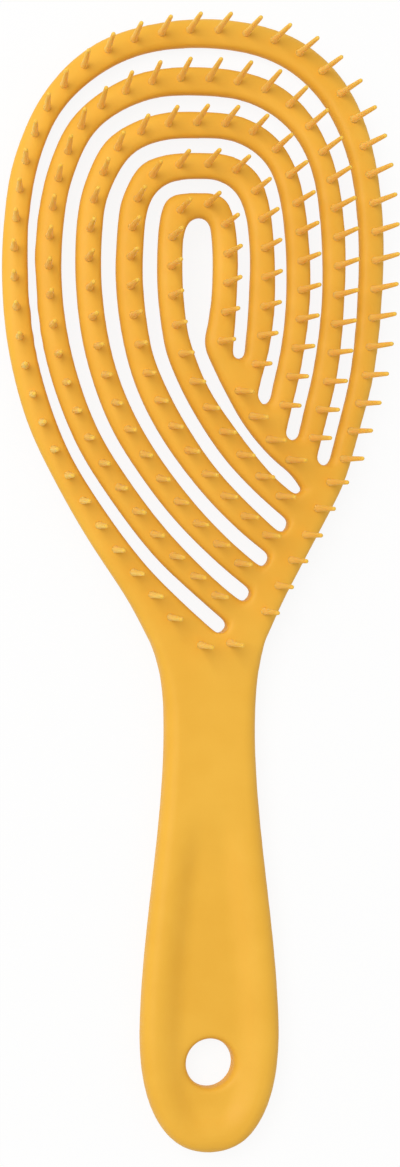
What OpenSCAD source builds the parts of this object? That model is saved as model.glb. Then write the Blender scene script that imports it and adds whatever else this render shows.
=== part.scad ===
// Detangling brush: one amber moulding seen as its working pieces.
// A flat-backed handle widens into a neck, an outer rim runs round the head,
// nested ribs spring from the rim's lower right leg, loop over the head and
// land on a slanting cross bar, and a row of pins stands on every rib.
// Frame: the back lies on z = 0, pins point up, y runs from handle to tip.

/* [Head] */
// Width of the head, from rim to rim
head_w = 81; // [60:1:110]
// Length of the head, from the neck line to the tip
head_l = 130; // [100:1:170]
// Radius of the domed front of the head
dome_r = 240; // [200:5:400]
// Thickness of the ribs, the rim and the cross bar
rib_t = 3.5; // [2.5:0.1:5]
// Radius of the long edges of the ribs
rib_edge = 1.2; // [0.4:0.1:1.5]
// How far the ribs' front edges reach in, as a multiple of that radius
shoulder = 1.8; // [1:0.1:2.2]
// Width of the vent slots, as a share of the width drawn in the plan
slot_fullness = 1; // [0.7:0.05:1.2]

/* [Handle] */
// Length of the handle, from its end to the neck line
handle_l = 106.7; // [80:0.1:140]
// Width of the handle at the palm swell
handle_w = 29.2; // [22:0.1:36]
// Width of the narrowest part of the neck
neck_w = 19; // [14:0.2:24]
// Thickness of the handle
handle_t = 7; // [6:0.5:9]
// Radius of the long edges of the handle
handle_edge = 2.6; // [1:0.1:2.9]
// Depth of the hollow in the handle's front
dish_depth = 1.7; // [0.5:0.1:3]
// Width of the hollow's sloping side
dish_slope = 5.5; // [3:0.1:8]
// Width of the border round that hollow
dish_border = 3.6; // [3:0.1:6]

/* [Hanging hole] */
// Diameter of the hanging hole
hole_d = 10.3; // [5:0.1:12]
// Radius of its rounded lips
lip_r = 1.6; // [0.4:0.1:2.4]
// Distance of the hole's centre from the end of the handle
hole_y = 18.5; // [14:0.1:26]

/* [Pins] */
// Height of a pin above the rib
pin_h = 12; // [6:0.5:18]
// Diameter of a pin at its root
pin_root_d = 2.1; // [1:0.1:2.6]
// Diameter of a pin at its tip
pin_tip_d = 0.9; // [0.6:0.1:1.8]
// Distance from one pin to the next along a rib
pin_pitch = 6.05; // [4.5:0.05:9]

/* [Hidden] */
$fn = 48;
amber = "#F0B040";

// Shapes of the head are drawn on a sheet counted in pixels, y downwards. The sheet
// is a view of the brush from an eye above its face, turned by view_turn to its left.
eye_px = [200, 583.5];
eye_far_px = 3036;
view_turn = 12;
axis_px = 213.1;
neck_line_px = 640;
tip_px = 12.6;
head_w_px = 391;
mm_across = head_w / head_w_px;
mm_along = head_l / (neck_line_px - tip_px);

// Outer edge of the rim, from the neck's left side round the tip to its right
outline_px = [
    [150, 640], [127, 598], [89, 540], [55, 480], [27, 420], [9, 350], [2.5, 283],
    [4.5, 222], [15, 157], [48, 87], [107, 37], [199, 18.4], [282, 31.5], [336, 70],
    [368, 130], [383, 215], [382, 300], [374.5, 372], [361, 425], [346, 477],
    [335, 502], [317, 536], [299, 570], [282, 602], [266, 640]
];
// Slots between the rim and the ribs: centre line and width, from the lower
// left end up, over the head and down to the right end
slot_1_px = [
    [227, 633, 15], [193, 603, 14.5], [149, 560, 13], [104, 500, 12], [68.5, 440, 11],
    [41.5, 360, 9.5], [32, 285, 9.5], [33, 220, 10], [46, 157, 12], [74, 105, 14],
    [131, 66.5, 17.5], [200, 57, 20.5], [267, 68.5, 21], [313, 103, 19], [341.5, 160, 17],
    [352, 232, 15], [351, 305, 14.5], [344.5, 372, 14], [332, 425, 14], [321.5, 466, 14]
];
slot_2_px = [
    [251, 600, 15.5], [218, 573, 15], [174, 529, 13.5], [136, 480, 13], [102, 424, 13.5],
    [78, 353, 14], [68.5, 283, 15], [70.5, 220, 14], [80.5, 175, 14.5], [104, 132, 15.5],
    [151, 107, 17], [200, 103.5, 17], [246, 109.5, 17], [284, 134, 17], [306.5, 176, 16],
    [315.5, 240, 14], [316, 305, 13], [308, 366, 13.5], [298.5, 407, 13.5], [290.5, 441, 14]
];
slot_3_px = [
    [269.5, 565, 15.5], [236, 537, 14.5], [200, 500, 13.5], [162, 450, 13], [134, 399, 13.5],
    [117, 346, 14.5], [108.5, 283, 15], [110.5, 222, 16], [117.5, 191, 15.5], [136, 160, 15],
    [165, 147.5, 15.5], [200, 145.5, 15.5], [233, 148.5, 16], [260, 166, 15], [273.5, 196, 13],
    [280, 245, 12.5], [280.5, 305, 12], [275, 350, 12.5], [267, 383, 14], [262.5, 405, 15]
];
slot_4_px = [
    [288.5, 531, 15.5], [254, 500, 14], [218, 461, 13.5], [186, 412, 13.5], [164, 366, 14],
    [155.5, 333, 14.5], [150, 283, 15], [151.5, 230, 15], [157.5, 203, 15], [169, 190.5, 14],
    [184, 186.5, 14.5], [200, 186, 15], [215, 187, 15], [231, 196, 14], [240.5, 219, 13.5],
    [244, 255, 13], [243, 297, 13], [241, 328, 13], [239.5, 346, 13], [238.5, 360, 13.5]
];
// Edge of the middle opening, as the innermost rib sees it
opening_px = [
    [299, 499], [270, 473], [236, 430], [208, 388], [191, 345], [185.5, 318], [182.5, 283],
    [182.5, 245], [185, 230], [189, 222], [194, 219], [199, 218], [204, 219], [208, 222],
    [211, 231], [213, 258], [212, 295], [208.5, 322], [205, 346], [217, 375]
];
// Round end of the middle opening's slanting arm
opening_end_px = [305.5, 492];
// Lower edge of the cross bar, along that slanting arm
bar_low_px = [[217, 375], [243, 423], [273, 459], [302, 483], [311, 499]];
// Roots of the last pins, on the neck
neck_pins_px = [[201, 645], [230, 643]];

last = len(slot_1_px) - 1;
// Sections: places over a slot's round end, sections between two points of a slot,
// the edge radius at a seam, and the small step that slopes are taken over
end_shares = [0, 0.03, 0.1, 0.2];
sections = 3;
seam_edge = 0.06;
step = 0.01;
neck_y = handle_l;
tip_y = handle_l + head_l;

// Places along the head and neck, as shares of the head's length
crown_share = 0.547;
level_share = 0.161;
// How far the head's middle stands left of the handle's axis, as a share of its width
lean_share = 0.042;
// Length by which a rib's root runs past a slot's round end, as a share of the slot's width
root_left_share = 0.3;
root_right_share = 0.5;

// The dome's crown, the line where the neck lies level, and the rise between them,
// set so that the handle's back and the tip's back rest on the same plane
crown_y = neck_y + crown_share * head_l;
level_y = neck_y - level_share * head_l;
tip_drop = pow(tip_y - crown_y, 2) / (2 * dome_r);
crown_z = rib_t + tip_drop;
rise = crown_z - handle_t;
run = crown_y - level_y;
turn_y = crown_y - 2 * dome_r * rise / run;

function clamp01(t) = max(0, min(1, t));
function smooth(t) = let (c = clamp01(t)) c * c * (3 - 2 * c);
function unit(v) = v / norm(v);

// Height of the front face along the middle, and away from it
function middle_z(y) =
    y >= turn_y ? crown_z - pow(y - crown_y, 2) / (2 * dome_r)
    : y <= level_y ? handle_t
    : handle_t + (crown_y - turn_y) / dome_r * pow(y - level_y, 2) / (2 * (turn_y - level_y));
function doming(y) = smooth((y - level_y) / (crown_y - level_y));
function middle_x(y) = -lean_share * head_w * doming(y);
function face_z(x, y) = middle_z(y) - doming(y) * pow(x - middle_x(y), 2) / (2 * dome_r);
function on_face(p) = [p[0], p[1], face_z(p[0], p[1])];
function face_normal(p) = unit([
    (face_z(p[0] - step, p[1]) - face_z(p[0] + step, p[1])) / (2 * step),
    (face_z(p[0], p[1] - step) - face_z(p[0], p[1] + step)) / (2 * step),
    1
]);
// The plate grows from the ribs' thickness to the handle's along the neck
function plate_t(y) =
    rib_t + (handle_t - rib_t) * (1 - smooth((y - level_y) / (2 * (neck_y - level_y))));

// Where the line of sight through a point of the sheet meets height z, and the face
function sight(p, z) =
    let (across = p[0] - eye_px[0], up = eye_px[1] - p[1], high = (z - handle_t) / mm_along,
         run = (eye_far_px * cos(view_turn) - high) / (eye_far_px * cos(view_turn) - across * sin(view_turn)))
    [(run * (eye_far_px * sin(view_turn) + across * cos(view_turn)) - eye_far_px * sin(view_turn)
        + eye_px[0] - axis_px) * mm_across,
     neck_y + (run * up + neck_line_px - eye_px[1]) * mm_along];
function plan(p) =
    let (level = sight(p, handle_t), near = sight(p, face_z(level[0], level[1])))
    sight(p, face_z(near[0], near[1]));
function plan_all(list) = [for (p = list) concat(plan(p), [p[2] * mm_across])];
// Slant of the line of sight at a place on the brush, across and along
function slant(p) =
    [tan(view_turn) + (p[0] / mm_across + axis_px - eye_px[0]) / eye_far_px,
     ((p[1] - neck_y) / mm_along - neck_line_px + eye_px[1]) / eye_far_px];
// How far a wall that faces the way d shows beyond the edge of its front, on the sheet
function showing(p, d) =
    let (n = face_normal(p), s = -(flat(n) + slant(p) * n[2]) * d,
         deep = s > 0 ? plate_t(p[1]) - rib_edge : rib_edge)
    deep * s + rib_edge * (sqrt(1 + s * s) - 1);

outline_seen = [for (p = outline_px) plan(p)];
slots = [for (list = [slot_1_px, slot_2_px, slot_3_px, slot_4_px]) plan_all(list)];
opening_seen = [for (p = opening_px) plan(p)];
opening_end = plan(opening_end_px);
bar_low_seen = [for (p = bar_low_px) plan(p)];

// A smooth curve through a list of points, place u counted in points
function blend4(a, b, c, d, t) =
    (2 * b + (c - a) * t + (2 * a - 5 * b + 4 * c - d) * t * t
    + (3 * b - a - 3 * c + d) * t * t * t) / 2;
function along(list, u) =
    let (n = len(list), i = max(0, min(floor(u), n - 2)),
         before = i > 0 ? list[i - 1] : 2 * list[0] - list[1],
         after = i < n - 2 ? list[i + 2] : 2 * list[n - 1] - list[n - 2])
    blend4(before, list[i], list[i + 1], after, u - i);
function flat(p) = [p[0], p[1]];
function heading(list, u) = unit(flat(along(list, u + step) - along(list, u - step)));
function left_of(v) = [-v[1], v[0]];
// A seen edge moved to where its wall starts: the body lies left of it, or right
function true_edge(list, side) =
    [for (i = [0 : len(list) - 1])
        let (d = left_of(heading(list, max(step, min(len(list) - 1 - step, i)))) * side)
        list[i] - d * showing(list[i], d)];
outline_edge = true_edge(outline_seen, 1);
outline_last = len(outline_edge) - 1;
outline = [for (i = [0 : outline_last]) let (p = outline_edge[i])
    i == 0 || i == outline_last ? [p[0], neck_y] : p];
opening = true_edge(opening_seen, -1);
bar_low = true_edge(bar_low_seen, -1);

// Side of a slot, drawn in to nothing over its round ends
function round_end(d, r) = d >= r ? 1 : sqrt(1 - pow(1 - d / r, 2));
function slot_side(s, u, side) =
    let (p = along(slots[s], u), r = p[2] * slot_fullness / 2,
         d = min(norm(flat(p - slots[s][0])), norm(flat(p - slots[s][last]))),
         away = left_of(heading(slots[s], u)) * side)
    flat(p) + away * (r + showing(flat(p), -away)) * round_end(d, r);
// Where a rib's root meets the rim or the bar, past a slot's round end
function root_left(s) =
    s == 0 ? [slots[0][0][0] + slots[0][0][2] * root_left_share, neck_y]
    : flat(slots[s][0]) - heading(slots[s], 0) * slots[s][0][2] * root_left_share;
function root_right(s) =
    flat(slots[s][last]) + heading(slots[s], last) * slots[s][last][2] * root_right_share;
// The opening's edge, with the round end of its slanting arm
opening_r = norm(opening_end - opening[0]);
function opening_side(u) =
    let (p = along(opening, u), d = norm(p - opening[0]),
         inward = unit(opening_end - opening[0]))
    p + inward * opening_r * (1 - round_end(d, opening_r));
opening_root = opening_end + unit(opening[0] - opening[1]) * opening_r * root_left_share;

// Places along a rib: close together at both ends, where the slots are round
stations = concat(
    end_shares,
    [for (i = [1 : sections * last - 2]) (i + 0.5) / sections],
    [for (i = [len(end_shares) - 1 : -1 : 0]) last - end_shares[i]]
);

// One cross section: outer point, inner point, edge radius at each, upright or square.
// Its front corners are quarter ellipses, which reach in further than they are deep.
round_share = 0.49;
front_turn = 30;
back_turn = 45;
function corner(x, y, in_x, in_y, reach, deep, turn) =
    [for (g = [0 : turn : 90])
        let (c = in_x * in_y > 0 ? cos(g) : sin(g), d = in_x * in_y > 0 ? sin(g) : cos(g))
        [x + in_x * reach * (1 - c), y + in_y * deep * (1 - d)]];
function ring(outer, inner, r_out, r_in, upright = false) =
    let (a = on_face(outer), b = on_face(inner), m = flat(a + b) / 2,
         n = upright ? [0, 0, 1] : face_normal(m),
         w = norm(b - a), across = (b - a) / w, t = plate_t(m[1]),
         down = unit(n - across * (n * across)),
         p = min(r_out, round_share * t, round_share * w / shoulder),
         q = min(r_in, round_share * t, round_share * w / shoulder))
    [for (c = concat(
            corner(0, 0, 1, 1, p * shoulder, p, front_turn),
            corner(w, 0, -1, 1, q * shoulder, q, front_turn),
            corner(w, t, -1, -1, q, q, back_turn),
            corner(0, t, 1, -1, p, p, back_turn)))
        a + across * c[0] - down * c[1]];

// Skin over a row of cross sections with equal counts of points
module loft(rings) {
    m = len(rings[0]);
    n = len(rings);
    points = [for (r = rings) each r];
    sides = [for (i = [0 : n - 2]) for (j = [0 : m - 1])
        let (a = i * m + j, b = i * m + (j + 1) % m)
        each [[a, b, b + m], [a, b + m, a + m]]];
    polyhedron(points, concat(
        sides,
        [[for (j = [m - 1 : -1 : 0]) j]],
        [[for (j = [0 : m - 1]) (n - 1) * m + j]]
    ));
}

// The rim's inner edge, past the first slot's right end and down to the neck
rim_roots = concat(
    [root_right(0), opening_root],
    [for (s = [3 : -1 : 0]) root_left(s)]
);
rim_rest = len(outline) - 1 - last;
root_turn = 0.35;
rim_start_share = 0.12;
function rim_outer(u) = along(outline, u < 1 ? rim_start_share + (1 - rim_start_share) * u : u);
function rim_root_outer(k) = along(outline, k == 0 ? last + root_turn : last + k);
rim_rings = concat(
    [ring(outline[0], root_left(0), rib_edge, seam_edge, true)],
    [for (u = stations)
        ring(rim_outer(u), slot_side(0, u, 1), rib_edge, u > 0 && u < last ? rib_edge : seam_edge)],
    [for (k = [0 : rim_rest])
        ring(rim_root_outer(k), rim_roots[k], rib_edge, seam_edge, k == rim_rest)]
);

// A rib between slot s and the next: rings from its root on the rim to its root on the bar
function rib_inner(s, u) = s < 3 ? slot_side(s + 1, u, 1) : opening_side(u);
function rib_rings(s) = concat(
    [ring(root_left(s), s < 3 ? root_left(s + 1) : opening_root, seam_edge, seam_edge)],
    [for (u = stations)
        let (edge = u > 0 && u < last ? rib_edge : seam_edge)
        ring(slot_side(s, u, -1), rib_inner(s, u), edge, s == 3 && u == last ? rib_edge : edge)],
    s < 3 ? [ring(root_right(s), root_right(s + 1), seam_edge, seam_edge)]
          : [ring(root_right(s), bar_low[0], seam_edge, rib_edge)]
);

// The cross bar, from the innermost rib's turn to the rim
bar_high = [for (s = [3 : -1 : 0]) root_right(s)];
bar_last = len(bar_high) - 1;
bar_rings = [for (i = [0 : 1 / sections : bar_last + step])
    ring(along(bar_high, i), i < bar_last - step ? along(bar_low, i) : opening_root, seam_edge, rib_edge)];

module rim() {
    color(amber) at_home() loft(rim_rings);
}

module rib(s) {
    color(amber) at_home() loft(rib_rings(s));
}

module cross_bar() {
    color(amber) at_home() loft(bar_rings);
}

// Handle: half width of its outline and depth of its hollow along y
swell_share = 0.236;
waist_share = 0.805;
end_fullness = 2.3;
swell_y = swell_share * handle_l;
waist_y = waist_share * handle_l;
neck_left = outline[0][0];
neck_right = outline[len(outline) - 1][0];
straight_share = 0.2;
function swell(y) =
    let (t = clamp01((waist_y - y) / (waist_y - swell_y)))
    (1 - straight_share) * smooth(t) + straight_share * t;
function body_half(y) =
    y < swell_y
    ? handle_w / 2 * pow(max(0, 1 - pow((swell_y - y) / swell_y, end_fullness)), 1 / end_fullness)
    : neck_w / 2 + (handle_w - neck_w) / 2 * swell(y);
function flare(y) = pow(clamp01((y - waist_y) / (neck_y - waist_y)), 3);
function left_x(y) = -body_half(y) + (neck_left + neck_w / 2) * flare(y);
function right_x(y) = body_half(y) + (neck_right - neck_w / 2) * flare(y);
dish_top_share = 0.7;
dish_full_share = 0.54;
function dish_at(y) =
    dish_depth * smooth((dish_top_share * handle_l - y) / ((dish_top_share - dish_full_share) * handle_l))
    * smooth((y - dish_border) / dish_slope);
function hollow(x, y) =
    let (reach = max(step, body_half(y) - dish_border))
    dish_at(y) * smooth((reach - abs(x)) / min(dish_slope, reach));

front_steps = 16;
edge_steps = 4;
// The butt end is rounded over like the long edges: how far it is drawn in at y
function butt(y) = y > handle_edge ? 0 : handle_edge - sqrt(pow(handle_edge, 2) - pow(handle_edge - y, 2));
function handle_ring(y) =
    let (xl = left_x(y), xr = right_x(y), w = xr - xl, in = butt(y), t = plate_t(y) - 2 * in,
         r = min(handle_edge * (1 - flare(y)) + rib_edge * flare(y), round_share * w, round_share * t),
         z0 = face_z(0, y) - in - t)
    concat(
        [for (k = [0 : edge_steps - 1]) let (g = 90 * k / edge_steps)
            [xl + r - r * cos(g), y, face_z(xl, y) - in - r + r * sin(g)]],
        [for (k = [0 : front_steps]) let (x = xl + r + (w - 2 * r) * k / front_steps)
            [x, y, face_z(x, y) - in - hollow(x, y)]],
        [for (k = [edge_steps - 1 : -1 : 0]) let (g = 90 * k / edge_steps)
            [xr - r + r * cos(g), y, face_z(xr, y) - in - r + r * sin(g)]],
        [for (k = [0 : edge_steps]) let (g = 90 * k / edge_steps)
            [xr - r + r * cos(g), y, z0 + r - r * sin(g)]],
        [for (k = [edge_steps : -1 : 0]) let (g = 90 * k / edge_steps)
            [xl + r - r * cos(g), y, z0 + r - r * sin(g)]]
    );
end_steps = 13;
shaft_steps = 24;
handle_stations = concat(
    [for (k = [0 : end_steps - 1]) swell_y * (1 - cos(90 * (k + 0.5) / end_steps))],
    [for (k = [0 : shaft_steps]) swell_y + (neck_y - swell_y) * k / shaft_steps]
);
end_gap = handle_stations[0];
overrun = 1;

// The hanging hole: a straight throat between lips that roll over towards both faces
lip_turn = 60;
lip_share = 0.3;
throat_turn = 12;
hole_t = face_z(0, hole_y) - hollow(0, hole_y);
lip = min(lip_r, lip_share * hole_t);
module hanging_hole() {
    low = [for (g = [lip_turn : -throat_turn : 0])
        [hole_d / 2 + lip * (1 - cos(g)), lip * (sin(lip_turn) - sin(g))]];
    wide = low[0][0] + overrun * tan(lip_turn);
    translate([0, hole_y, 0])
    rotate_extrude()
    polygon(concat(
        [[0, -overrun], [wide, -overrun]],
        low,
        [for (i = [len(low) - 1 : -1 : 0]) [low[i][0], hole_t - low[i][1]]],
        [[low[0][0] + 2 * overrun * tan(lip_turn), hole_t + 2 * overrun], [0, hole_t + 2 * overrun]]
    ));
}

module handle() {
    color(amber)
    at_home()
    difference() {
        loft([for (y = handle_stations) handle_ring(y)]);
        hanging_hole();
    }
}

// Pins: slender cones with round tips, square to the domed face. The rim's lean out
// less where the face falls off towards the tip of the head.
rim_lean_share = 0.5;
function rim_pin_way(p) =
    let (n = face_normal(p))
    unit([n[0], n[1] * (n[1] > 0 ? rim_lean_share : 1), n[2]]);
tip_r = pin_tip_d / 2;
tip_turn = 30;
module pin(p, n) {
    translate(on_face(p))
    rotate([0, acos(n[2]), atan2(n[1], n[0])])
    rotate_extrude()
    polygon(concat(
        [[0, 0], [pin_root_d / 2, 0]],
        [for (g = [0 : tip_turn : 90 - tip_turn]) [tip_r * cos(g), pin_h - tip_r + tip_r * sin(g)]],
        [[0, pin_h]]
    ));
}

// Distances along a line of points
function lengths(line, i = 0, sum = 0) =
    i == len(line) - 1 ? [sum]
    : concat([sum], lengths(line, i + 1, sum + norm(line[i + 1] - line[i])));
// Places of a row of pins, one pitch apart: the last pin stands its own share of
// the pitch before the line's far end, the first at least first_share from its start
first_share = 0.4;
rim_last_share = 1.12;
rib_last_shares = [0.6, 0.67, 0.65, 0.94];
bar_last_share = 1;
function row(line, last_share) =
    let (s = lengths(line), far = s[len(s) - 1] - last_share * pin_pitch,
         count = max(0, floor(far / pin_pitch - first_share)))
    [for (k = [count : -1 : 0])
        let (d = far - k * pin_pitch, i = max([for (j = [0 : len(s) - 2]) s[j] <= d ? j : 0]))
        line[i] + (line[i + 1] - line[i]) * (d - s[i]) / (s[i + 1] - s[i])];
fine = 8;
rim_line = concat(
    [for (i = [0 : last * fine]) (rim_outer(i / fine) + slot_side(0, i / fine, 1)) / 2],
    [for (k = [1 : rim_rest]) (rim_root_outer(k) + rim_roots[k]) / 2]
);
rim_places = row(rim_line, rim_last_share);
function rib_line(s) =
    [for (i = [0 : last * fine]) (slot_side(s, i / fine, -1) + rib_inner(s, i / fine)) / 2];
bar_line = [for (i = [0 : 1 / fine : bar_last]) (along(bar_high, i) + along(bar_low, i)) / 2];
function rib_places(s) = row(rib_line(s), rib_last_shares[s]);

// The origin: the middle of the box round the brush, on the plane it lies on
rim_points = concat(
    [for (r = rim_rings) each r],
    [for (p = rim_places) on_face(p) + rim_pin_way(p) * pin_h]
);
xs = [for (p = rim_points) p[0]];
ys = [for (p = rim_points) p[1]];
home = [-(min(xs) + max(xs)) / 2, -(end_gap + max(ys)) / 2, 0];
module at_home() {
    translate(home) children();
}

module pin_row(places) {
    color(amber)
    at_home()
    for (p = places) pin(p, face_normal(p));
}

module rim_pin_row() {
    color(amber)
    at_home()
    for (p = rim_places) pin(p, rim_pin_way(p));
}

handle();
rim();
rib(0);  // rib_2
rib(1);  // rib_3
rib(2);  // rib_4
rib(3);  // rib_5
cross_bar();
rim_pin_row();  // rim_pins
pin_row(rib_places(0));  // rib_2_pins
pin_row(rib_places(1));  // rib_3_pins
pin_row(rib_places(2));  // rib_4_pins
pin_row(rib_places(3));  // rib_5_pins
pin_row(row(bar_line, bar_last_share));  // cross_bar_pins
pin_row([for (p = neck_pins_px) plan(p)]);  // neck_pins
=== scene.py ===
# %% [markdown]
# Detangling brush in amber polypropylene
#
# The real brush is a single moulding: handle, rim, nested ribs and pins leave the
# mould together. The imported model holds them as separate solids, which this notebook
# dresses. A fused skin could be sculpted by hand, but the solids already have the
# right sizes, so the skin is grown from copies of them and can't drift out of place.

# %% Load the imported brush
import math
import bmesh
import bpy
import numpy as np
from mathutils import Matrix, Vector


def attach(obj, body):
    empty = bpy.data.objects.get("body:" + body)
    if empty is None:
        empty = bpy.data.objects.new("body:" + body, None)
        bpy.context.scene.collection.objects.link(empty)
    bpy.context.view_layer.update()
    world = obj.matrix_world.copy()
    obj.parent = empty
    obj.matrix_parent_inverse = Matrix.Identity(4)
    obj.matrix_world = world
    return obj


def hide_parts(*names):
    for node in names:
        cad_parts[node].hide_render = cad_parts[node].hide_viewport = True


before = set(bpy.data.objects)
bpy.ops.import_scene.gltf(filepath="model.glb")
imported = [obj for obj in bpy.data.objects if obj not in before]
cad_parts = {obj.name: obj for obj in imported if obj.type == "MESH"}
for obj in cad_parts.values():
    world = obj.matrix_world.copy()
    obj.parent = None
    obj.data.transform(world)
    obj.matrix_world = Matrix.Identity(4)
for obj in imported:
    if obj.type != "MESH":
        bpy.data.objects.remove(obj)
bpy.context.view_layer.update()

MM = 0.001
print("nodes in the frame:", len(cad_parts))

# %% [markdown]
# Small helpers
#
# Colours are written as the hex values that a picture editor shows and turned to
# linear light once. One function adds every shader node with its settings and links,
# so each material below reads as a short list of what feeds what.


# %% Colour and node helpers
def linear(hex_code):
    """An sRGB hex colour as linear red, green and blue, and a full alpha."""
    parts = [int(hex_code[i:i + 2], 16) / 255 for i in (1, 3, 5)]
    # The sRGB curve is straight near black and a power above that
    return [c / 12.92 if c <= 0.04045 else ((c + 0.055) / 1.055) ** 2.4 for c in parts] + [1.0]


def add_node(tree, kind, settings=None, links=None):
    """A shader node of that kind, with values by socket or property name and links by socket."""
    node = tree.nodes.new(kind)
    for name, value in (settings or {}).items():
        if hasattr(node, name):
            setattr(node, name, value)
        else:
            node.inputs[name].default_value = value
    for name, source in (links or {}).items():
        tree.links.new(source, node.inputs[name])
    return node


def new_material(name):
    """An empty node material and its tree."""
    material = bpy.data.materials.new(name)
    material.use_nodes = True
    material.node_tree.nodes.clear()
    return material, material.node_tree


print("a picture's mid grey is", round(linear("#808080")[0], 3), "in linear light")

# %% [markdown]
# The plastic
#
# The brush is polypropylene with amber pigment, injection moulded in a tool with a
# fine satin finish. That gives the eye an even, slightly waxy colour, broad soft
# highlights, and a very fine grain that breaks them up. Polypropylene lets a little
# light in. The thick body hardly shows it, but in a pin light enters one side and
# leaves by the other, so the pins get a large subsurface weight and hardly any shine.
# A pin's foot is also lit by the rib around it, more than a render with few bounces
# finds, so a paler shade is painted on the foot as painted light. Pigment never mixes
# perfectly: slow noise moves the colour a few percent, and quicker noise moves the
# roughness with the mould's peel.

# %% Colours, and how far light goes in
AMBER = ["#E9AE38", "#ECB23C", "#EFB640"]
# The pins' shades are painted paler than the body's: painted light for their upright sides, which
# get less light than the flat face
PIN_AMBER_PAINTED_PALER = ["#ECB44C", "#EEB750", "#F0BA54"]
# Noise seldom leaves 0.3 to 0.7, so the three shades are spread over that stretch
SHADE_PLACES = [0.3, 0.5, 0.7]
# Painted light at a pin's foot: between these heights above the back the pin goes
# from this paler shade to its own colour
PAINTED_FOOT_LIGHT = "#F8C466"
ROOT_HEIGHT = 9 * MM
TIP_HEIGHT = 19 * MM
POLYPROPYLENE_IOR = 1.49
# Red goes furthest into amber plastic, and blue the least far
LIGHT_REACH = 1.5 * MM
REACH_BY_COLOUR = (1.0, 0.75, 0.45)
print("shades:", AMBER, PIN_AMBER_PAINTED_PALER, "and", PAINTED_FOOT_LIGHT, "at the pins' feet")

# %% Sizes of the patterns
PIGMENT_SWIRL = 14 * MM
SWIRL_DETAIL = 3.0
ORANGE_PEEL = 2.2 * MM
PEEL_HEIGHT = 0.048 * MM
PEEL_STRENGTH = 0.25
# The mould's real grain is under 0.1 mm, too fine to show, so it is drawn coarser
SATIN_GRAIN = 0.35 * MM
GRAIN_HEIGHT = 0.012 * MM
GRAIN_STRENGTH = 0.5
FINE_DETAIL = 2.0
# How much glossier and duller than the middle the peel makes the surface
GLOSSIER = 0.05
DULLER = 0.07
patterns = {"swirl": PIGMENT_SWIRL, "peel": ORANGE_PEEL, "grain": SATIN_GRAIN}
print("patterns in mm:", {name: round(size / MM, 2) for name, size in patterns.items()})


# %% The parts of the plastic
def noise(tree, place, size, detail):
    """Noise whose lumps have that size, as a value from 0 to 1."""
    node = add_node(tree, "ShaderNodeTexNoise", {"Scale": 1 / size, "Detail": detail},
                    {"Vector": place})
    return node.outputs["Fac"]


def swirled(tree, place, shades):
    """A colour that drifts between three shades of the pigment."""
    swirl = noise(tree, place, PIGMENT_SWIRL, SWIRL_DETAIL)
    colour = add_node(tree, "ShaderNodeValToRGB", {}, {"Fac": swirl})
    ramp = colour.color_ramp
    ramp.elements[0].position = SHADE_PLACES[0]
    ramp.elements[0].color = linear(shades[0])
    ramp.elements[1].position = SHADE_PLACES[2]
    ramp.elements[1].color = linear(shades[2])
    ramp.elements.new(SHADE_PLACES[1]).color = linear(shades[1])
    return colour.outputs["Color"]


def painted_light_at_feet(tree, place, colour, painted_foot_shade):
    """The colour, mixed towards a paler shade near the ribs' height, as painted light."""
    height = add_node(tree, "ShaderNodeSeparateXYZ", {}, {"Vector": place}).outputs["Z"]
    rise = add_node(tree, "ShaderNodeMapRange", {"From Min": ROOT_HEIGHT, "From Max": TIP_HEIGHT},
                    {"Value": height})
    mixed = add_node(tree, "ShaderNodeMix", {"data_type": "RGBA"})
    # A Mix node has sockets for every type of value, and 6, 7 and 2 are the ones for colour
    share, at_foot, at_tip, blend = (mixed.inputs[0], mixed.inputs[6], mixed.inputs[7],
                                     mixed.outputs[2])
    tree.links.new(rise.outputs["Result"], share)
    at_foot.default_value = linear(painted_foot_shade)
    tree.links.new(colour, at_tip)
    return blend


def mould_relief(tree, place, peel):
    """The fine relief that the mould leaves: orange peel with satin grain on it."""
    soft = add_node(tree, "ShaderNodeBump", {"Strength": PEEL_STRENGTH, "Distance": PEEL_HEIGHT},
                    {"Height": peel})
    bump = add_node(tree, "ShaderNodeBump", {"Strength": GRAIN_STRENGTH, "Distance": GRAIN_HEIGHT},
                    {"Height": noise(tree, place, SATIN_GRAIN, FINE_DETAIL),
                     "Normal": soft.outputs["Normal"]})
    return bump.outputs["Normal"]


print("a swirl of", PIGMENT_SWIRL / MM, "mm is noise at scale", round(1 / PIGMENT_SWIRL, 1))


# %% Moulded amber polypropylene
def moulded_polypropylene(name, shades, roughness, glow, shine, painted_foot_shade=None):
    """Pigmented satin polypropylene with flow colour, orange peel and mould grain, and painted
    light at the feet if a foot shade is given.
    """
    material, tree = new_material(name)
    place = add_node(tree, "ShaderNodeTexCoord").outputs["Object"]
    surface = swirled(tree, place, shades)
    # Painted light: a paler shade at the pins' feet stands for light bounced off the ribs
    if painted_foot_shade:
        surface = painted_light_at_feet(tree, place, surface, painted_foot_shade)
    peel = noise(tree, place, ORANGE_PEEL, FINE_DETAIL)
    gloss = add_node(tree, "ShaderNodeMapRange",
                     {"To Min": roughness - GLOSSIER, "To Max": roughness + DULLER},
                     {"Value": peel})
    shader = add_node(tree, "ShaderNodeBsdfPrincipled",
                      {"IOR": POLYPROPYLENE_IOR, "Specular IOR Level": shine,
                       "Subsurface Weight": glow, "Subsurface Scale": LIGHT_REACH,
                       "Subsurface Radius": REACH_BY_COLOUR},
                      {"Base Color": surface, "Roughness": gloss.outputs["Result"],
                       "Normal": mould_relief(tree, place, peel)})
    add_node(tree, "ShaderNodeOutputMaterial", {}, {"Surface": shader.outputs["BSDF"]})
    return material


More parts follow.
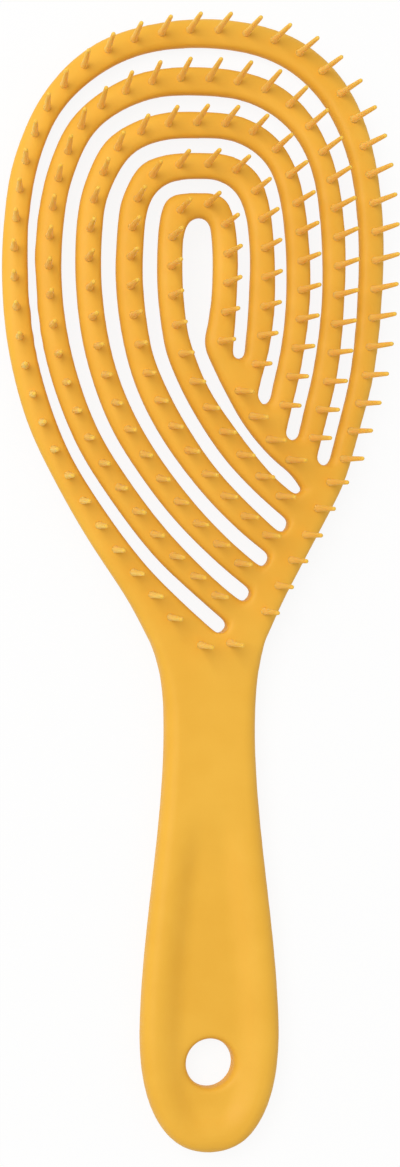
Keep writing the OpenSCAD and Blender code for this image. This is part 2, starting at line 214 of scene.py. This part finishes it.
body_plastic = moulded_polypropylene("moulded_amber_polypropylene", AMBER,
                                     roughness=0.48, glow=0.03, shine=0.22)
pin_plastic = moulded_polypropylene("moulded_amber_polypropylene_pins", PIN_AMBER_PAINTED_PALER,
                                    roughness=0.54, glow=0.85, shine=0.1,
                                    painted_foot_shade=PAINTED_FOOT_LIGHT)
print("plastics made:", body_plastic.name, pin_plastic.name)

# %% [markdown]
# One skin over handle, rim, ribs and bar
#
# On the real brush nothing is joined: plastic flows through the whole tool, and every
# inside corner has a small fillet left by the cutter. Booleans would leave hard seams,
# so each rib is copied and smoothed along its length with a subdivision surface. That
# pulls its corners in by a tenth of a millimetre, which the rib gets back. Then all of
# it is swollen by a fifth of a millimetre, fused by a voxel remesh, and shrunk back by
# a little less, as the remesh wears the ribs too. The swelling closes the hairlines
# between neighbours, and shrinking back leaves the fillets.

# %% Copies of the solids
BODY_NODES = ["handle", "rim", "rib_2", "rib_3", "rib_4", "rib_5", "cross_bar"]
MERGE_GAP = 0.0001 * MM


def merged_copy(node):
    """A bmesh copy of a node's mesh, with its loose triangles welded."""
    bm = bmesh.new()
    bm.from_mesh(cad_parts[node].data)
    bmesh.ops.remove_doubles(bm, verts=bm.verts, dist=MERGE_GAP)
    return bm


def mesh_of(bm, name):
    """A mesh that holds what the bmesh held, which is freed."""
    mesh = bpy.data.meshes.new(name)
    bm.to_mesh(mesh)
    bm.free()
    return mesh


def finished_mesh(mesh, modifiers):
    """The mesh that a stack of modifiers makes of a mesh."""
    carrier = bpy.data.objects.new("carrier", mesh)
    bpy.context.scene.collection.objects.link(carrier)
    for kind, settings in modifiers:
        modifier = carrier.modifiers.new(kind.lower(), kind)
        for name, value in settings.items():
            setattr(modifier, name, value)
    graph = bpy.context.evaluated_depsgraph_get()
    result = bpy.data.meshes.new_from_object(carrier.evaluated_get(graph))
    bpy.data.objects.remove(carrier)
    return result


print("solids to dress as one skin:", ", ".join(BODY_NODES))

# %% Smooth the ribs along their length
# Two triangles flatter than SAME_RAIL are halves of one quad along the rib, and an edge
# sharper than END_FACE bounds the rib's flat end, which has to stay where it is
SAME_RAIL = math.radians(50)
END_FACE = math.radians(62)
CORNER_LOSS = 0.1 * MM
RIB_LEVELS = 2


def smoothed_along(node):
    """A node's copy with paired triangles made quads, end faces creased, and subdivided."""
    bm = merged_copy(node)
    bmesh.ops.join_triangles(bm, faces=bm.faces, angle_face_threshold=SAME_RAIL,
                             angle_shape_threshold=SAME_RAIL)
    crease = bm.edges.layers.float.new("crease_edge")
    for edge in bm.edges:
        edge[crease] = 1.0 if edge.calc_face_angle(0) > END_FACE else 0.0
    quads = sum(1 for face in bm.faces if len(face.verts) == 4)
    print(f"  {node}: {quads} quads of {len(bm.faces)} faces")
    return finished_mesh(mesh_of(bm, node + "_smooth"), [
        ("SUBSURF", {"levels": RIB_LEVELS, "render_levels": RIB_LEVELS}),
        ("DISPLACE", {"strength": CORNER_LOSS, "mid_level": 0.0}),
    ])


body_bm = merged_copy("handle")
for node in BODY_NODES[1:]:
    body_bm.from_mesh(smoothed_along(node))
print("faces gathered for the skin:", len(body_bm.faces))

# %% Fuse them into one skin
VOXEL = 0.6 * MM
SWELL = 0.22 * MM
SHRINK = 0.15 * MM
# Each smoothing moves a point half way to where its neighbours are
SMOOTH_SHARE = 0.5
SMOOTHINGS = 3
body_mesh = finished_mesh(mesh_of(body_bm, "moulded_body"), [
    ("DISPLACE", {"strength": SWELL, "mid_level": 0.0}),
    ("REMESH", {"mode": "VOXEL", "voxel_size": VOXEL, "use_smooth_shade": True}),
    ("DISPLACE", {"strength": -SHRINK, "mid_level": 0.0}),
    ("SMOOTH", {"factor": SMOOTH_SHARE, "iterations": SMOOTHINGS}),
])
body_mesh.materials.clear()
body_mesh.materials.append(body_plastic)
body_mesh.shade_smooth()
body_mesh.calc_loop_triangles()
print("skin:", len(body_mesh.loop_triangles), "triangles")

# %% Put the moulded body in the scene
moulded_body = bpy.data.objects.new("moulded_body", body_mesh)
bpy.context.scene.collection.objects.link(moulded_body)
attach(moulded_body, "root")
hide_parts(*BODY_NODES)
print("moulded body stands for", len(BODY_NODES), "solids")

# %% [markdown]
# The pins
#
# Each pin is a slender cone with a rounded tip that won't scratch the scalp, and a
# flared root that hair can't catch on. It could be modelled as a cylinder pulled in
# at one end, but a profile turned once round gives the flare and the dome exactly.
# One pin is spun, then a copy goes to every pin solid, along that solid's own axis.

# %% Turn one pin
PIN_H = 12 * MM
# Radius and height in mm, from inside the rib, up the flare, to the rounded tip
PIN_PROFILE = [(1.05, -0.4), (0.84, 0.1), (0.72, 0.7), (0.66, 2.0), (0.57, 6.0),
               (0.45, 11.5), (0.38, 11.78), (0.2, 11.95)]
PIN_SIDES = 10


def spun(profile, top, sides):
    """A bmesh turned round the Z axis from a profile in mm, closed at both ends."""
    bm = bmesh.new()
    points = [(0, profile[0][1])] + profile + [(0, top)]
    row = [bm.verts.new((r * MM, 0, z * MM)) for r, z in points]
    edges = [bm.edges.new(pair) for pair in zip(row, row[1:])]
    bmesh.ops.spin(bm, geom=row + edges, cent=(0, 0, 0), axis=(0, 0, 1), angle=math.tau,
                   steps=sides, use_merge=True)
    bmesh.ops.remove_doubles(bm, verts=bm.verts, dist=MERGE_GAP)
    bmesh.ops.recalc_face_normals(bm, faces=bm.faces)
    return bm


pin_mesh = mesh_of(spun(PIN_PROFILE, PIN_H / MM, PIN_SIDES), "one_pin")
print("one pin:", len(pin_mesh.polygons), "faces")


# %% Find where each pin stands
def islands(bm):
    """The loose parts of a bmesh, as arrays of their points."""
    left = set(bm.verts)
    while left:
        part, edge = [], [left.pop()]
        while edge:
            vert = edge.pop()
            part.append(vert.co[:])
            fresh = {e.other_vert(vert) for e in vert.link_edges} & left
            left -= fresh
            edge += fresh
        yield np.array(part)


def root_and_axis(points):
    """Where a pin solid stands and which way it points, from its longest direction."""
    middle = points.mean(axis=0)
    axis = np.linalg.svd(points - middle, full_matrices=False)[2][0]
    # A longest direction may come out pointing down, but every pin points up
    axis *= math.copysign(1, axis[2])
    reach = (points - middle) @ axis
    return Vector(middle + axis * reach.min()), Vector(axis)


def stands(node):
    """Root and axis of every pin solid of a node, in a fixed order."""
    source = merged_copy(node)
    found = [root_and_axis(points)
             for points in sorted(islands(source), key=lambda part: tuple(part.mean(axis=0)))]
    source.free()
    return found


PIN_NODES = sorted(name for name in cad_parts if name.endswith("_pins"))
print("pin nodes:", ", ".join(PIN_NODES))


# %% Stand a pin on every pin solid
def pin_row(node):
    """One piece with a turned pin on every solid of a pin node."""
    row = bmesh.new()
    places = stands(node)
    for root, axis in places:
        turn = Vector((0, 0, 1)).rotation_difference(axis).to_matrix().to_4x4()
        placed = pin_mesh.copy()
        placed.transform(Matrix.Translation(root) @ turn)
        row.from_mesh(placed)
        bpy.data.meshes.remove(placed)
    mesh = mesh_of(row, node + "_row")
    mesh.materials.append(pin_plastic)
    mesh.shade_smooth()
    piece = bpy.data.objects.new(node + "_row", mesh)
    bpy.context.scene.collection.objects.link(piece)
    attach(piece, "root")
    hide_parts(node)
    print(f"  {piece.name}: {len(places)} pins")
    return piece


pin_rows = [pin_row(node) for node in PIN_NODES]
print("pin rows:", len(pin_rows))

# %% [markdown]
# Floor, light and camera
#
# The photograph is a catalogue shot: the brush lies on its back on white, under a
# large soft light from the upper left and a bright room all round. A backdrop could
# be lit until it clips, but that would wash out the amber, so the floor shows the
# lens mostly its own white and keeps a part of its true shading for the shadow.

# %% A white that only the lens sees
PURE_WHITE = "#FFFFFF"
CARD_WHITE = "#F4F3F1"
SHADOW_KEPT = 0.1


def seen_by_lens(tree):
    """1 for rays from the lens, in reflections and through glass, and 0 for light."""
    rays = add_node(tree, "ShaderNodeLightPath").outputs
    total = rays["Is Camera Ray"]
    for kind in ("Is Glossy Ray", "Is Transmission Ray"):
        added = add_node(tree, "ShaderNodeMath", {"operation": "ADD", "use_clamp": True})
        tree.links.new(total, added.inputs[0])
        tree.links.new(rays[kind], added.inputs[1])
        total = added.outputs["Value"]
    return total


def matt_white_card():
    """White card whose shadow shows faintly."""
    material, tree = new_material("matt_white_card")
    card = add_node(tree, "ShaderNodeBsdfDiffuse", {"Color": linear(CARD_WHITE)})
    glow = add_node(tree, "ShaderNodeEmission", {"Color": linear(PURE_WHITE), "Strength": 1.0})
    share = add_node(tree, "ShaderNodeMath", {"operation": "MULTIPLY"})
    share.inputs[1].default_value = 1 - SHADOW_KEPT
    tree.links.new(seen_by_lens(tree), share.inputs[0])
    mixed = add_node(tree, "ShaderNodeMixShader")
    tree.links.new(share.outputs["Value"], mixed.inputs["Fac"])
    tree.links.new(card.outputs["BSDF"], mixed.inputs[1])
    tree.links.new(glow.outputs["Emission"], mixed.inputs[2])
    add_node(tree, "ShaderNodeOutputMaterial", {}, {"Surface": mixed.outputs["Shader"]})
    return material


white_card = matt_white_card()
print("floor material:", white_card.name)

# %% Lay the floor
FLOOR_HALF = 3.0
# Just under the back, so that the two flat faces don't flicker through each other
FLOOR_Z = -0.08 * MM
floor_bm = bmesh.new()
bmesh.ops.create_grid(floor_bm, x_segments=1, y_segments=1, size=FLOOR_HALF)
bmesh.ops.translate(floor_bm, verts=floor_bm.verts, vec=(0, 0, FLOOR_Z))
floor_mesh = mesh_of(floor_bm, "floor")
floor_mesh.materials.append(white_card)
floor = bpy.data.objects.new("floor", floor_mesh)
bpy.context.scene.collection.objects.link(floor)
print("floor laid at", round(floor_mesh.vertices[0].co.z / MM, 3), "mm")

# %% Bright room
ROOM_LIGHT = 0.6
world = bpy.data.worlds.new("bright_room")
bpy.context.scene.world = world
world.use_nodes = True
sky_tree = world.node_tree
sky_tree.nodes.clear()
room = add_node(sky_tree, "ShaderNodeBackground",
                {"Color": linear(PURE_WHITE), "Strength": ROOM_LIGHT})
white = add_node(sky_tree, "ShaderNodeBackground",
                 {"Color": linear(PURE_WHITE), "Strength": 1.0})
sky = add_node(sky_tree, "ShaderNodeMixShader", {}, {"Fac": seen_by_lens(sky_tree)})
sky_tree.links.new(room.outputs["Background"], sky.inputs[1])
sky_tree.links.new(white.outputs["Background"], sky.inputs[2])
add_node(sky_tree, "ShaderNodeOutputWorld", {}, {"Surface": sky.outputs["Shader"]})
bpy.context.scene.view_settings.view_transform = "Standard"
print("room light:", ROOM_LIGHT, "of white")

# %% One large soft lamp
KEY_POWER = 6.25
KEY_SIZE = 0.7
KEY_PLACE = Vector((-0.5, 0.3, 0.88))
key_data = bpy.data.lights.new("key", "AREA")
key_data.shape = "DISK"
key_data.size = KEY_SIZE
key_data.energy = KEY_POWER
key = bpy.data.objects.new("key", key_data)
key.location = KEY_PLACE
key.rotation_euler = (-KEY_PLACE).to_track_quat("-Z", "Y").to_euler()
bpy.context.scene.collection.objects.link(key)
print("key lamp at", [round(c, 2) for c in KEY_PLACE], "m")

# %% [markdown]
# The camera
#
# The pins on the left are seen end on and those on the right lean out, so the lens
# stood over the brush's middle, a little to its left. The long lens and the distance
# follow from how fast the pins fan out towards the picture's edges.

# %% Camera at the photograph's angle
VIEW_TARGET = Vector((0.74, 0.2, 7.0)) * MM
VIEW_TURN = math.radians(12)
VIEW_DISTANCE = 0.629
SENSOR = 36
PICTURE_HEIGHT = 241.8 * MM

camera_data = bpy.data.cameras.new("camera")
camera_data.sensor_fit = "VERTICAL"
camera_data.sensor_height = SENSOR
camera_data.lens = SENSOR * VIEW_DISTANCE / PICTURE_HEIGHT
camera = bpy.data.objects.new("camera", camera_data)
towards_lens = Vector((-math.sin(VIEW_TURN), 0, math.cos(VIEW_TURN)))
across = Vector((math.cos(VIEW_TURN), 0, math.sin(VIEW_TURN)))
camera.location = VIEW_TARGET + VIEW_DISTANCE * towards_lens
camera.rotation_euler = Matrix((across, Vector((0, 1, 0)), towards_lens)).transposed().to_euler()
bpy.context.scene.collection.objects.link(camera)
bpy.context.scene.camera = camera
print("lens:", round(camera_data.lens, 1), "mm")
